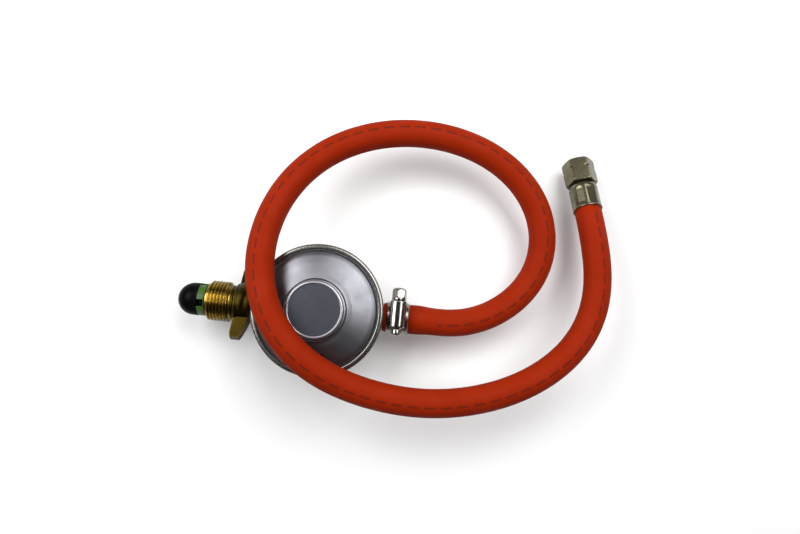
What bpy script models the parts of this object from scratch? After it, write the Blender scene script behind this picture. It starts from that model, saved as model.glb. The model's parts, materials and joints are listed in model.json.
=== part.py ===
"""Low-pressure propane regulator with a hand-tightened cylinder nut, a hose clipped to its
outlet and a crimped swivel fitting on the hose's far end.

Frame: the regulator stands on the XY plane with its round body about the Z axis. The gas
flows along +X, from the cylinder nut at -X to the hose nozzle at +X. Blender units are
metres, and the dimensions below are millimetres that mm() converts.
"""

import math

import bmesh
import bpy
import numpy as np
from mathutils import Matrix, Vector

ASSEMBLY = "propane_regulator_hose"

# Round steps of turned pieces
FINE = 36
MEDIUM = 24
COARSE = 16

GAP = 0.3              # clearance between pieces that touch
PORT_Z = 22.0          # height of the inlet and outlet axis

# Regulator body, turned about Z
FLANGE_R = 34.1
BODY_TOP = 33.5
RING_R = 35.8
RING_TOP = 37.0
RING_BOTTOM = 30.8
COVER_SEAT = 34.9
TOWER_BORE_R = 13.1
TOWER_TOP = 45.6
CAP_R = 15.3
CAP_TOP = 47.6
BREATHER = (5.6, -23.5)

# Inlet side, turned about the port axis
BOSS_R = 8.5
INLET_FACE_X = -35.3
SPIGOT_R = 5.0
NUT_BACK_X = -36.9
HUB_FRONT_X = -46.3
THREAD_BACK_X = -49.1
NUT_FRONT_X = -61.7
SEAT_X = -62.6         # back of the spigot's flange, which the collar sits on
THREAD_R = 11.1
THREAD_ROOT_R = 10.0
THREAD_TURNS = 7
NOSE_R = 9.0
NOSE_CENTRE_X = -70.0
NOSE_TIP_R = 3.4
NOSE_BORE_R = 2.2
COLLAR_LENGTH = 4.0
COLLAR_TURN = math.radians(-14)
WING_R = 21.4
WING_TILT = math.radians(25)

# Valve train
PIVOT = (-9.0, 15.0)           # x and z of the lever's pin
STEM_HOOK_Z = 16.0
TRAVEL_BORE_R = 3.9

# Outlet, hose and clip
OUTLET_FACE_X = 33.6
NOZZLE_TIP_X = 58.0
HOSE_R = 7.5
CLIP_X = 43.3
CLIP_WIDTH = 12.0
HOUSING_WIDTH = 8.8
CLIP_AXIS_Z = 34.9

# End fitting: its back end, and the direction that it points in
FITTING_BACK = Vector((145.5, 71.2, 18.6))
FITTING_HEADING = math.radians(100.5)
FITTING_DIP = math.radians(18)
FERRULE_R = 8.0
FERRULE_LENGTH = 16.0
NUT_START = 16.7
NUT_END = 31.5
SWIVEL_FLATS = 16.0
SWIVEL_TURN = math.radians(29.5)

# Middle line of the free hose, from the nozzle, round the loop and over the regulator
HOSE_ROUTE = (
    (59, 0, 22), (68, 0, 22), (79, 2, 21), (91, 6, 20), (103, 13, 19), (113, 23, 18),
    (119, 35, 18), (121, 48, 19), (119, 61, 20), (113, 74, 21), (103, 85, 23), (90, 94, 25),
    (74, 100, 27), (55, 103, 29), (35, 102, 31), (16, 97, 32), (-1, 88, 34), (-15, 75, 36),
    (-24, 61, 39), (-29, 46, 42), (-31, 30, 45), (-29, 13, 49), (-23, -2, 52.5), (-14, -15, 54.5),
    (-2, -26, 51.5), (12, -34, 47), (28, -39, 44), (44, -42, 42), (61, -43, 40), (78, -41, 38),
    (94, -37, 37), (110, -31, 35), (125, -21, 33), (138, -9, 31), (147, 6, 29), (151, 23, 27),
    (151, 41, 25), (148, 58, 22),
)
HOSE_POINTS = 66
CURVE_STEPS = 6        # steps of the worked-out curve between two points of the tube
STRAIGHT_START = 3.0   # the hose's first stretch, in line with the nozzle
STRAIGHT_END = 6.0     # the hose's last stretch, in line with the fitting
EASE = 12.0            # how far the hose's stiffness spreads out a bend
FIRM = 1e9             # weight of a point that stays in place, against 1 for the others

MATERIALS = {
    "grey_paint": ((0.30, 0.30, 0.33), 0.35, 0.7),
    "bright_steel": ((0.50, 0.49, 0.47), 0.22, 1.0),
    "label_grey": ((0.06, 0.063, 0.083), 0.45, 0.0),
    "brass": ((0.38, 0.26, 0.07), 0.35, 1.0),
    "nose_rubber": ((0.006, 0.006, 0.007), 0.4, 0.0),
    "collar_green": ((0.06, 0.16, 0.03), 0.4, 0.0),
    "diaphragm_rubber": ((0.03, 0.03, 0.03), 0.6, 0.0),
    "hose_rubber": ((0.36, 0.026, 0.005), 0.55, 0.0),
    "fitting_steel": ((0.36, 0.34, 0.26), 0.3, 1.0),
    "spring_steel": ((0.45, 0.45, 0.47), 0.35, 1.0),
    "cast_zinc": ((0.36, 0.36, 0.38), 0.5, 0.8),
    "white_plastic": ((0.75, 0.75, 0.72), 0.5, 0.0),
}


def mm(*values):
    """Millimetres as metres: one number, or a tuple of them."""
    metres = tuple(value * 0.001 for value in values)
    return metres[0] if len(metres) == 1 else metres


def clear_scene():
    for obj in list(bpy.data.objects):
        bpy.data.objects.remove(obj, do_unlink=True)


def make_collection(name):
    collection = bpy.data.collections.new(name)
    bpy.context.scene.collection.children.link(collection)
    return collection


def make_material(part_name, finish):
    """One Principled material for each piece, from its finish."""
    colour, roughness, metallic = MATERIALS[finish]
    material = bpy.data.materials.new(part_name)
    material.use_nodes = True
    shader = material.node_tree.nodes["Principled BSDF"]
    shader.inputs["Base Color"].default_value = (*colour, 1)
    shader.inputs["Roughness"].default_value = roughness
    shader.inputs["Metallic"].default_value = metallic
    return material


def add_object(name, data, finish=None):
    """Puts a piece in the assembly, or a shape that only cuts or joins with the tools."""
    obj = bpy.data.objects.new(name, data)
    if finish is None:
        tools.objects.link(obj)
        obj.hide_render = True
        obj.display_type = "WIRE"
    else:
        pieces.objects.link(obj)
        data.materials.append(make_material(name, finish))
    return obj


def lay_along(obj, axis, at=(0, 0, 0)):
    """Turns the object's own Z onto an axis and sets its place in millimetres."""
    turn = Vector((0, 0, 1)).rotation_difference(Vector(axis))
    obj.rotation_euler = turn.to_euler()
    obj.location = mm(*at)
    return obj


def turned(name, outline, finish=None, steps=MEDIUM):
    """A turned shape from (radius, height) points that run down the outer side."""
    mesh = bpy.data.meshes.new(name)
    points = [(mm(r), 0, mm(h)) for r, h in outline]
    count = len(points)
    edges = [(i, i + 1) for i in range(count - 1)]
    if outline[0][0] > 0 or outline[-1][0] > 0:
        edges.append((count - 1, 0))
    mesh.from_pydata(points, edges, [])
    obj = add_object(name, mesh, finish)
    screw = obj.modifiers.new("Screw", "SCREW")
    screw.steps = steps
    screw.render_steps = steps
    screw.use_merge_vertices = True
    screw.merge_threshold = 0.00001
    screw.use_smooth_shade = True
    return obj


def box(name, low, high, finish=None):
    """A box between two corners, in millimetres."""
    mesh = bpy.data.meshes.new(name)
    form = bmesh.new()
    bmesh.ops.create_cube(form, size=1.0)
    for vert in form.verts:
        vert.co = [mm(low[i] if vert.co[i] < 0 else high[i]) for i in range(3)]
    form.to_mesh(mesh)
    form.free()
    return add_object(name, mesh, finish)


def prism(name, sides, across_flats, bottom, top, finish=None):
    """An upright regular prism, with a flat facing +X."""
    mesh = bpy.data.meshes.new(name)
    form = bmesh.new()
    corner_r = across_flats / 2 / math.cos(math.pi / sides)
    bmesh.ops.create_cone(
        form, cap_ends=True, segments=sides, radius1=mm(corner_r), radius2=mm(corner_r),
        depth=mm(top - bottom),
    )
    turn = math.pi / sides
    for vert in form.verts:
        x, y, z = vert.co
        vert.co.x = x * math.cos(turn) - y * math.sin(turn)
        vert.co.y = x * math.sin(turn) + y * math.cos(turn)
        vert.co.z = z + mm((top + bottom) / 2)
    form.to_mesh(mesh)
    form.free()
    return add_object(name, mesh, finish)


def rod(name, radius, bottom, top, finish=None, steps=COARSE):
    """A plain upright cylinder."""
    outline = [(0, top), (radius, top), (radius, bottom), (0, bottom)]
    return turned(name, outline, finish, steps)


def combine(obj, other, operation):
    boolean = obj.modifiers.new(f"{operation.title()} {other.name}", "BOOLEAN")
    boolean.operation = operation
    boolean.object = other
    boolean.solver = "EXACT"


def cut(obj, *cutters):
    for cutter in cutters:
        combine(obj, cutter, "DIFFERENCE")


def join(obj, *others):
    for other in others:
        combine(obj, other, "UNION")


def on_port(obj, spin=0.0):
    """Lays a turned piece along the gas path: its own height becomes world X."""
    lay_along(obj, (1, 0, 0), (0, 0, PORT_Z))
    obj.rotation_euler.rotate_axis("Z", spin)
    return obj


# ---- regulator housing ----


def lower_body():
    """Cast bowl with the inlet and outlet bosses and the two posts of the lever's pin."""
    outline = [
        (0, 3.0), (17, 3.0), (20.5, 5.5), (24, 14.5), (27, 24.5), (29.3, 30.0),
        (29.3, BODY_TOP), (FLANGE_R, BODY_TOP), (FLANGE_R, 31.9), (32.6, 31.9),
        (32.6, 30.2), (30, 24), (27, 13), (23.5, 4), (21.4, 0.8), (20, 0), (0, 0),
    ]
    body = turned("lower_body", outline, "cast_zinc", FINE)
    boss_root = 25.5
    pin_hole = rod("pin_hole", 1.8, -10, 10)
    lay_along(pin_hole, (0, 1, 0), (PIVOT[0], 0, PIVOT[1]))
    join(body, on_port(rod("inlet_boss", BOSS_R, INLET_FACE_X, -boss_root, steps=MEDIUM), 0.05))
    cut(body, on_port(rod("inlet_bore", 5.8, -41, -19), 0.12))
    join(body, on_port(rod("outlet_boss", BOSS_R, boss_root, OUTLET_FACE_X, steps=MEDIUM), 0.05))
    cut(body, on_port(rod("outlet_bore", 4.8, 19, 41), 0.12))
    join(
        body,
        box("pin_post_left", (-12.5, 4.6, 2.5), (-5.5, 7.4, 19)),
        box("pin_post_right", (-12.5, -7.4, 2.5), (-5.5, -4.6, 19)),
    )
    cut(body, pin_hole)


def upper_cover():
    """Pressed dome with the tower that the adjusting screw turns in, and a breather hole."""
    outline = [
        (TOWER_BORE_R, TOWER_TOP), (14.5, TOWER_TOP), (14.5, 43.3), (16.1, 43.3), (16.5, 42.5),
        (18, 41.9), (22, 41.0), (26, 39.8), (29.5, 38.4), (31.6, 37.0), (32.4, 35.9),
        (FLANGE_R, 35.9), (FLANGE_R, COVER_SEAT), (30.6, COVER_SEAT), (30.2, 36.0),
        (28.6, 37.1), (25.4, 38.4), (21, 39.6), (16, 40.4), (TOWER_BORE_R, 40.6),
    ]
    cover = turned("upper_cover", outline, "grey_paint", FINE)
    hole = rod("breather_hole", 1.0, 36, 43)
    hole.location = mm(*BREATHER, 0)
    cut(cover, hole)


def clinch_ring():
    """Rolled ring that clamps the cover, the diaphragm and the body together."""
    outline = [
        (32.9, RING_TOP), (35.2, RING_TOP), (RING_R, RING_TOP - 0.6),
        (RING_R, RING_BOTTOM + 0.6), (35.2, RING_BOTTOM), (33.0, RING_BOTTOM),
        (33.0, 31.6), (34.4, 31.6), (34.4, 36.1), (32.9, 36.1),
    ]
    turned("clinch_ring", outline, "bright_steel", FINE)


def tower_cap():
    """Painted cap pressed over the tower, with a shallow recess for the label disc."""
    outline = [
        (0, 46.9), (13.8, 46.9), (13.8, CAP_TOP), (14.9, CAP_TOP), (CAP_R, CAP_TOP - 0.4),
        (CAP_R, 43.6), (14.8, 43.6), (14.8, 46.0), (0, 46.0),
    ]
    turned("tower_cap", outline, "grey_paint", FINE)
    rod("label_disc", 13.5, 47.15, 47.45, "label_grey", FINE)


def adjusting_screw():
    """Threaded plug that loads the main spring, with a hexagon socket."""
    screw = rod("adjusting_screw", TOWER_BORE_R - GAP, 42.0, 45.4, "white_plastic", MEDIUM)
    cut(screw, prism("adjusting_socket", 6, 8, 43.2, 46))


def main_spring():
    """Coil spring between the diaphragm plate and the adjusting screw."""
    wire_r = 0.85
    coil_r = 10.5
    bottom = 31.8 + GAP + wire_r
    top = 42.0 - GAP - wire_r
    turns = 4
    per_turn = 12
    count = turns * per_turn + 1
    curve = bpy.data.curves.new("main_spring", "CURVE")
    curve.dimensions = "3D"
    curve.bevel_depth = mm(wire_r)
    curve.bevel_resolution = 2
    curve.use_fill_caps = True
    spline = curve.splines.new("POLY")
    spline.points.add(count - 1)
    for i, point in enumerate(spline.points):
        angle = 2 * math.pi * i / per_turn
        height = bottom + (top - bottom) * i / (count - 1)
        place = mm(coil_r * math.cos(angle), coil_r * math.sin(angle), height)
        point.co = (*place, 1)
    add_object("main_spring", curve, "spring_steel")


# ---- diaphragm and valve train ----


def diaphragm_unit():
    """Rubber diaphragm with its plate, washer, stem and nut."""
    turned(
        "diaphragm",
        [
            (3.1, 30.6), (22.6, 30.6), (24.6, 31.6), (27.6, 34.2), (28.6, 34.7),
            (FLANGE_R, 34.7), (FLANGE_R, 33.7), (28.9, 33.7), (28.2, 33.3), (25.3, 30.8),
            (23.1, 29.6), (3.1, 29.6),
        ],
        "diaphragm_rubber",
        FINE,
    )
    turned(
        "diaphragm_plate",
        [
            (3.1, 31.8), (20.3, 31.8), (20.3, 33.2), (21.5, 33.2), (21.5, 31.4),
            (20.9, 30.8), (3.1, 30.8),
        ],
        "spring_steel",
    )
    turned(
        "diaphragm_washer", [(3.1, 29.4), (12, 29.4), (12, 28.4), (3.1, 28.4)], "spring_steel"
    )
    turned(
        "diaphragm_stem",
        [
            (0, 36), (2.8, 36), (2.8, 28.1), (4.0, 28.1), (4.0, 26.5), (2.4, 26.5),
            (2.4, 18.6), (3.5, 18.6), (3.5, STEM_HOOK_Z + 1.2), (1.6, STEM_HOOK_Z + 1.2),
            (1.6, STEM_HOOK_Z - 1.2), (3.5, STEM_HOOK_Z - 1.2), (3.5, 13.6), (0, 13.6),
        ],
        "brass",
        COARSE,
    )
    nut = prism("stem_nut", 6, 9, 32.1, 35.1, "bright_steel")
    cut(nut, rod("stem_nut_bore", 3.1, 31, 37))


def lever():
    """Bell crank that turns the stem's lift into the valve's travel."""
    x, z = PIVOT
    at_pin = (x, 0, z)
    body = rod("lever", 2.8, -2.6, 2.6, "spring_steel")
    lay_along(body, (0, 1, 0), at_pin)
    join(
        body,
        box("lever_short_arm", (x - 0.9, -1.5, z + 0.7), (x + 0.9, 1.5, 23.0)),
        box("lever_long_arm", (x + 0.6, -3.4, STEM_HOOK_Z - 0.5), (3.3, 3.4, STEM_HOOK_Z + 0.5)),
    )
    hole = lay_along(rod("lever_hole", 1.8, -5, 5), (0, 1, 0), at_pin)
    cut(body, box("lever_fork", (-2.3, -1.95, 14), (5, 1.95, 18)), hole)
    pin = rod("lever_pin", 1.5, -7.3, 7.3, "bright_steel")
    lay_along(pin, (0, 1, 0), at_pin)


def valve():
    """Inlet nozzle, the guide beyond it, and the slider whose pad closes the nozzle."""
    on_port(
        turned(
            "inlet_orifice",
            [
                (1.0, -16.6), (1.7, -16.6), (2.4, -18.5), (2.4, -23.5), (5.4, -23.5),
                (5.4, -28.5), (1.0, -28.5),
            ],
            "brass",
            COARSE,
        )
    )
    guide = turned(
        "valve_guide", [(TRAVEL_BORE_R, -4.5), (5.3, -4.5), (5.3, -23.2), (TRAVEL_BORE_R, -23.2)],
        "brass", COARSE,
    )
    on_port(guide)
    cut(guide, box("guide_slot", (-12, -2.9, 14), (-3, 2.9, PORT_Z)))
    slider = on_port(rod("valve_slider", TRAVEL_BORE_R - GAP, -13.7, -5.5, "white_plastic"))
    x = PIVOT[0]
    cut(slider, box("slider_groove", (x - 1.5, -1.9, 16), (x + 1.5, 1.9, 23.9)))
    on_port(rod("valve_pad", 3.2, -15.3, -13.9, "nose_rubber"))
    on_port(rod("inlet_filter", 5.4, -30.5, -29.0, "spring_steel"))


# ---- inlet connection ----


def inlet_connection():
    """Spigot with its soft nose, and the washer that the nut pushes on."""
    on_port(
        turned(
            "inlet_spigot",
            [
                (2.0, -31.0), (5.4, -31.0), (5.4, INLET_FACE_X), (SPIGOT_R, INLET_FACE_X),
                (SPIGOT_R, SEAT_X), (7.3, SEAT_X), (7.3, SEAT_X - 1), (3.4, SEAT_X - 1),
                (3.4, -74.0), (2.0, -74.0),
            ],
            "brass",
        )
    )
    back_x = SEAT_X - 1 - GAP
    front_x = SEAT_X - COLLAR_LENGTH - GAP
    outline = [(3.7, back_x), (7.3, back_x), (7.3, front_x), (NOSE_R, front_x)]
    outline.append((NOSE_R, NOSE_CENTRE_X))
    last_angle = math.acos(NOSE_TIP_R / NOSE_R)
    arc_steps = 7
    for i in range(1, arc_steps + 1):
        angle = last_angle * i / arc_steps
        outline.append((NOSE_R * math.cos(angle), NOSE_CENTRE_X - NOSE_R * math.sin(angle)))
    outline += [(NOSE_BORE_R, outline[-1][1]), (NOSE_BORE_R, -74.3), (3.7, -74.3)]
    on_port(turned("bullnose_seal", outline, "nose_rubber"))
    collar_front_x = SEAT_X - COLLAR_LENGTH
    collar = turned(
        "nose_collar",
        [(7.6, SEAT_X), (8.9, SEAT_X), (8.9, collar_front_x), (7.6, collar_front_x)],
        "collar_green",
    )
    on_port(collar)
    for i in range(2):
        slot = box(f"collar_slot_{i}", (-2.1, -12, -70), (2.1, 12, SEAT_X - 0.6))
        turn = COLLAR_TURN + math.pi / 2 * i
        across = Vector((0, math.sin(turn), math.cos(turn)))
        along = Vector((1, 0, 0))
        slot.matrix_world = frame_matrix(across.cross(along), across, along, PORT_Z)
        cut(collar, slot)
    back_x = NUT_FRONT_X - 0.2
    front_x = SEAT_X + GAP
    on_port(
        turned(
            "thrust_washer",
            [(5.3, back_x), (8.7, back_x), (8.7, front_x), (5.3, front_x)],
            "brass",
        )
    )


def frame_matrix(x_axis, y_axis, z_axis, height):
    """Turns an object's own axes onto three world axes, at a height on the Z axis."""
    matrix = Matrix((x_axis, y_axis, z_axis)).transposed().to_4x4()
    matrix.translation = mm(0, 0, height)
    return matrix


def hand_nut():
    """Left-hand male nut with two wings, turned by hand on the spigot."""
    outline = [
        (5.3, NUT_BACK_X), (9.3, NUT_BACK_X), (10.3, NUT_BACK_X - 1), (10.3, HUB_FRONT_X),
        (9.2, HUB_FRONT_X - 0.8), (9.2, THREAD_BACK_X),
    ]
    pitch = (THREAD_BACK_X - NUT_FRONT_X) / THREAD_TURNS
    for i in range(THREAD_TURNS):
        start = THREAD_BACK_X - pitch * i
        outline += [(THREAD_ROOT_R, start - 0.1), (THREAD_R, start - pitch / 2)]
    outline += [(THREAD_ROOT_R - 0.3, NUT_FRONT_X), (5.3, NUT_FRONT_X)]
    nut = on_port(turned("hand_nut", outline, "brass"))
    for i, side in enumerate((1, -1)):
        join(nut, wing(f"nut_wing_{i}", side))


def wing(name, side):
    """One wing as a tapered block from the hub out to the nut's greatest radius."""
    middle_x = -42.0
    obj = box(name, (-46.1, 6, -3.2), (-37.5, WING_R, 3.2))
    for vert in obj.data.vertices:
        if vert.co.y > mm(10):
            vert.co.x = mm(-46.4) if vert.co.x < mm(middle_x) else mm(-40.3)
            vert.co.z *= 0.72
    turn = math.pi - WING_TILT if side > 0 else -WING_TILT
    obj.rotation_euler = (turn, 0, 0)
    obj.location = mm(0, 0, PORT_Z)
    return obj


# ---- outlet, clip and hose ----


def outlet_nozzle():
    outline = [(3.0, NOZZLE_TIP_X), (3.6, NOZZLE_TIP_X)]
    barb_pitch = 5.5
    for i in range(4):
        peak = NOZZLE_TIP_X - 2 - barb_pitch * i
        outline += [(4.6, peak), (4.1, peak - 0.3), (4.1, peak - barb_pitch + 2)]
    outline += [
        (4.1, 34.9), (7.6, 34.9), (7.6, OUTLET_FACE_X + GAP), (4.5, OUTLET_FACE_X + GAP),
        (4.5, 27), (3.0, 27),
    ]
    on_port(turned("outlet_nozzle", outline, "brass"))


def hose_clip():
    """Worm-drive clip: band, housing and screw."""
    back = CLIP_X - CLIP_WIDTH / 2
    front = CLIP_X + CLIP_WIDTH / 2
    on_port(
        turned("clip_band", [(8.0, front), (8.7, front), (8.7, back), (8.0, back)], "bright_steel")
    )
    half = HOUSING_WIDTH / 2
    housing = box(
        "clip_housing", (CLIP_X - half, -5.1, 31.0), (CLIP_X + half, 9.4, 38.6), "bright_steel"
    )
    bevel = housing.modifiers.new("Rolled top", "BEVEL")
    bevel.width = mm(1.8)
    bevel.segments = 2
    bevel.limit_method = "WEIGHT"
    mark_top_edges(housing.data)
    bore = lay_along(rod("screw_bore", 3.4, -8, 12), (0, 1, 0), (CLIP_X, 0, CLIP_AXIS_Z))
    cut(housing, bore)
    screw = turned(
        "clip_screw",
        [
            (0, 10.9), (3.8, 10.9), (3.8, 9.7), (3.1, 9.7), (3.1, -5.2), (2.7, -5.6),
            (2.7, -8.3), (1.9, -9.3), (0, -9.3),
        ],
        "bright_steel",
        COARSE,
    )
    lay_along(screw, (0, 1, 0), (CLIP_X, 0, CLIP_AXIS_Z))
    head = prism("screw_head", 6, 7, 10.5, 16.2)
    lay_along(head, (0, 1, 0), (CLIP_X, 0, CLIP_AXIS_Z))
    slot = box("screw_slot", (-5, -0.5, 15.0), (5, 0.5, 17))
    lay_along(slot, (0, 1, 0), (CLIP_X, 0, CLIP_AXIS_Z))
    join(screw, head)
    cut(screw, slot)


def mark_top_edges(mesh):
    """Gives the two long top edges of a box their bevel weight."""
    weights = mesh.attributes.new("bevel_weight_edge", "FLOAT", "EDGE")
    top = max(vert.co.z for vert in mesh.vertices)
    for edge in mesh.edges:
        a, b = (mesh.vertices[i].co for i in edge.vertices)
        is_top = min(a.z, b.z) > top - mm(0.1)
        runs_across = abs(a.y - b.y) > mm(1)
        weights.data[edge.index].value = 1.0 if is_top and runs_across else 0.0


def smooth_curve(points, count, first_direction, last_direction):
    """Evenly spaced points on the cubic spline through the route, with set end directions."""
    route = np.array(points, dtype=float)
    steps = np.linalg.norm(np.diff(route, axis=0), axis=1)
    at = np.concatenate(([0.0], np.cumsum(steps)))
    n = len(route)
    left = np.zeros((n, n))
    right = np.zeros((n, 3))
    left[0, 0] = 1
    right[0] = first_direction
    left[-1, -1] = 1
    right[-1] = last_direction
    for i in range(1, n - 1):
        before, after = steps[i - 1], steps[i]
        left[i, i - 1:i + 2] = (after, 2 * (before + after), before)
        rise_before = (route[i] - route[i - 1]) / before
        rise_after = (route[i + 1] - route[i]) / after
        right[i] = 3 * (after * rise_before + before * rise_after)
    slopes = np.linalg.solve(left, right)

    def place(t):
        i = int(np.clip(np.searchsorted(at, t) - 1, 0, n - 2))
        span = at[i + 1] - at[i]
        s = (t - at[i]) / span
        return (
            (1 + 2 * s) * (1 - s) ** 2 * route[i]
            + s * (1 - s) ** 2 * span * slopes[i]
            + s ** 2 * (3 - 2 * s) * route[i + 1]
            + s ** 2 * (s - 1) * span * slopes[i + 1]
        )

    fine = np.array([place(t) for t in np.linspace(0, at[-1], 4 * count)])
    run = run_along(fine)
    even = np.linspace(0, run[-1], count)
    return np.column_stack([np.interp(even, run, fine[:, k]) for k in range(3)])


def run_along(path):
    """Distance from the start to each point of a path."""
    return np.concatenate(([0.0], np.cumsum(np.linalg.norm(np.diff(path, axis=0), axis=1))))


def ease_bends(path, straight_start, straight_end):
    """Evens out a path's bends, as a stiff hose does, and leaves its straight ends alone."""
    count = len(path)
    run = run_along(path)
    straight = (run <= straight_start) | (run >= run[-1] - straight_end)
    hold = np.where(straight, FIRM, 1.0)
    bend_change = np.diff(np.eye(count), n=3, axis=0)
    stiffness = (EASE * (count - 1) / run[-1]) ** 6
    left = np.diag(hold) + stiffness * bend_change.T @ bend_change
    return np.linalg.solve(left, hold[:, None] * path)


def fitting_axis():
    flat = math.cos(FITTING_DIP)
    return Vector(
        (
            flat * math.cos(FITTING_HEADING), flat * math.sin(FITTING_HEADING),
            -math.sin(FITTING_DIP),
        )
    )


def hose():
    """The free hose as a tube, and the ends of the same hose on the nozzle and in the ferrule."""
    on_port(
        turned(
            "hose_on_nozzle",
            [
                (4.9, 58.3), (7.6, 58.3), (7.95, 55), (8.0, 50.4), (7.7, 49.6), (7.7, 37.0),
                (8.0, 36.4), (7.9, 35.2), (4.9, 35.2),
            ],
            "hose_rubber",
        )
    )
    axis = fitting_axis()
    end = FITTING_BACK - axis * GAP
    before_end = FITTING_BACK - axis * STRAIGHT_END
    route = [*HOSE_ROUTE, tuple(before_end), tuple(end)]
    curve = bpy.data.curves.new("hose", "CURVE")
    curve.dimensions = "3D"
    curve.bevel_depth = mm(HOSE_R)
    curve.bevel_resolution = 3
    curve.use_fill_caps = True
    spline = curve.splines.new("POLY")
    spline.points.add(HOSE_POINTS - 1)
    count = (HOSE_POINTS - 1) * CURVE_STEPS + 1
    path = smooth_curve(route, count, (1, 0, 0), tuple(axis))
    places = ease_bends(path, STRAIGHT_START, STRAIGHT_END)[::CURVE_STEPS]
    for point, place in zip(spline.points, places):
        point.co = (*mm(*place), 1)
    add_object("hose", curve, "hose_rubber")
    on_fitting(
        turned("hose_in_ferrule", [(4.7, 13.3), (7.2, 13.3), (7.2, 0), (4.7, 0)], "hose_rubber")
    )


def on_fitting(obj):
    """Lays a turned piece along the end fitting, from the ferrule's open end."""
    return lay_along(obj, fitting_axis(), FITTING_BACK)


def end_fitting():
    """Crimped ferrule, barbed tail and the swivel nut that it carries."""
    on_fitting(
        turned(
            "ferrule",
            [
                (4.6, FERRULE_LENGTH), (6.2, FERRULE_LENGTH), (7.5, 15.1), (FERRULE_R, 13.7),
                (FERRULE_R, 0), (7.5, 0), (7.5, 14.0), (4.6, 14.0),
            ],
            "fitting_steel",
        )
    )
    outline = [(2.8, 24.4), (3.6, 24.4), (5.5, 22.0), (5.5, 19.6), (4.2, 19.6), (4.2, 13.0)]
    for peak in (12, 8, 4):
        outline += [(3.9, peak), (4.4, peak - 0.3)]
    outline += [(3.6, 0.8), (2.8, 0.8)]
    on_fitting(turned("hose_tail", outline, "fitting_steel", COARSE))
    nut = prism("swivel_nut", 6, SWIVEL_FLATS, NUT_START, NUT_END, "fitting_steel")
    lay_along(nut, fitting_axis(), FITTING_BACK)
    nut.rotation_euler.rotate_axis("Z", SWIVEL_TURN)
    corner_r = 9.5
    blank = turned(
        "chamfer_blank",
        [
            (0, NUT_END), (7.7, NUT_END), (corner_r, NUT_END - 1.2), (corner_r, NUT_START + 0.5),
            (8.6, NUT_START), (0, NUT_START),
        ],
    )
    combine(nut, on_fitting(blank), "INTERSECT")
    socket = turned(
        "swivel_socket",
        [
            (0, 33), (6.6, 33), (6.6, 31.3), (5.9, 30.6), (5.9, 19.3), (4.6, 19.3), (4.6, 15),
            (0, 15),
        ],
        steps=COARSE,
    )
    notch = turned("corner_notch", [(10, 26.6), (10, 24.6), (8.5, 25.6)], steps=FINE)
    cut(nut, on_fitting(socket), on_fitting(notch))


def shade_round_pieces():
    """Smooth shading that keeps edges of more than 35 degrees crisp."""
    for obj in pieces.objects:
        if obj.type == "MESH" and obj.data.polygons:
            obj.data.shade_smooth()
            obj.data.set_sharp_from_angle(angle=math.radians(35))


clear_scene()
pieces = make_collection(ASSEMBLY)
tools = make_collection("shaping_tools")
lower_body()
upper_cover()
clinch_ring()
tower_cap()
adjusting_screw()
main_spring()
diaphragm_unit()
lever()
valve()
inlet_connection()
hand_nut()
outlet_nozzle()
hose_clip()
hose()
end_fitting()
shade_round_pieces()
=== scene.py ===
"""Looks of a low-pressure propane regulator with its hose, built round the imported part.

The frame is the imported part's: metres, +Z up, and the gas flows along +X through the
regulator. Shapes are worked out in millimetres and become metres as each piece is made.
"""
import json
import math

import bmesh
import bpy
import numpy as np
from mathutils import Matrix, Vector

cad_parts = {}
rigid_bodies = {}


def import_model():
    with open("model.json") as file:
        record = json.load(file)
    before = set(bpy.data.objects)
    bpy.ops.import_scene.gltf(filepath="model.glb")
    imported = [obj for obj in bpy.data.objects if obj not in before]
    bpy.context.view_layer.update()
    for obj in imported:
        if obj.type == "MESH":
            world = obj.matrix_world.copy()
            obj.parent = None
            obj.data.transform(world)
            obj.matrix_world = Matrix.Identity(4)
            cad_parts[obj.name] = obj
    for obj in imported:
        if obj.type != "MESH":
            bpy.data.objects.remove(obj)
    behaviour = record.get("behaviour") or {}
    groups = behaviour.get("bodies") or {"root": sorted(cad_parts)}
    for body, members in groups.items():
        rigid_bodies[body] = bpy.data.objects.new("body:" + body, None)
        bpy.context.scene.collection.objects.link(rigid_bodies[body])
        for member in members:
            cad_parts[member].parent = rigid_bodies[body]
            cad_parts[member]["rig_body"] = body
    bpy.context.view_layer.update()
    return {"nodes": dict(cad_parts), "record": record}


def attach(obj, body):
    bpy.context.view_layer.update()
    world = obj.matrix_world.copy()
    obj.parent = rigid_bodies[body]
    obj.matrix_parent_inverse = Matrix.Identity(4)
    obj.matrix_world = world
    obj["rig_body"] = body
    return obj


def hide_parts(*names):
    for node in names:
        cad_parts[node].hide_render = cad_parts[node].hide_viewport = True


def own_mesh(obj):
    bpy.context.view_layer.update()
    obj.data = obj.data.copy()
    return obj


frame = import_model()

SLOTS = {part["node"]: part["material_slot"] for part in frame["record"]["subparts"]}

# Driving dimensions, in millimetres
PORT_Z = 22.0
HOSE_R = 7.5
HOSE_START_X = 35.2
NOZZLE_END_X = 59.0
FERRULE_DEPTH = 13.3
FITTING_BACK = Vector((145.5, 71.2, 18.6))
CLIP_X = 43.3
CLIP_AXIS_Z = 34.9
BREATHER = (5.6, -23.5)
LEVER_PIN = (-9.0, 0, 15.0)
THREAD_PITCH = 1.8
SWIVEL_PITCH = 1.34
WORM_PITCH = 2.4

# Where the end fitting points, and how far pieces are turned about their own axes
FITTING_HEADING = math.radians(100.5)
FITTING_DIP = math.radians(18)
WING_TILT = math.radians(25)
COLLAR_TURN = math.radians(14)
SWIVEL_TURN = math.radians(-11)
SCREW_HEAD_TURN = 0.3
SCREW_SLOT_TURN = 0.5

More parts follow.
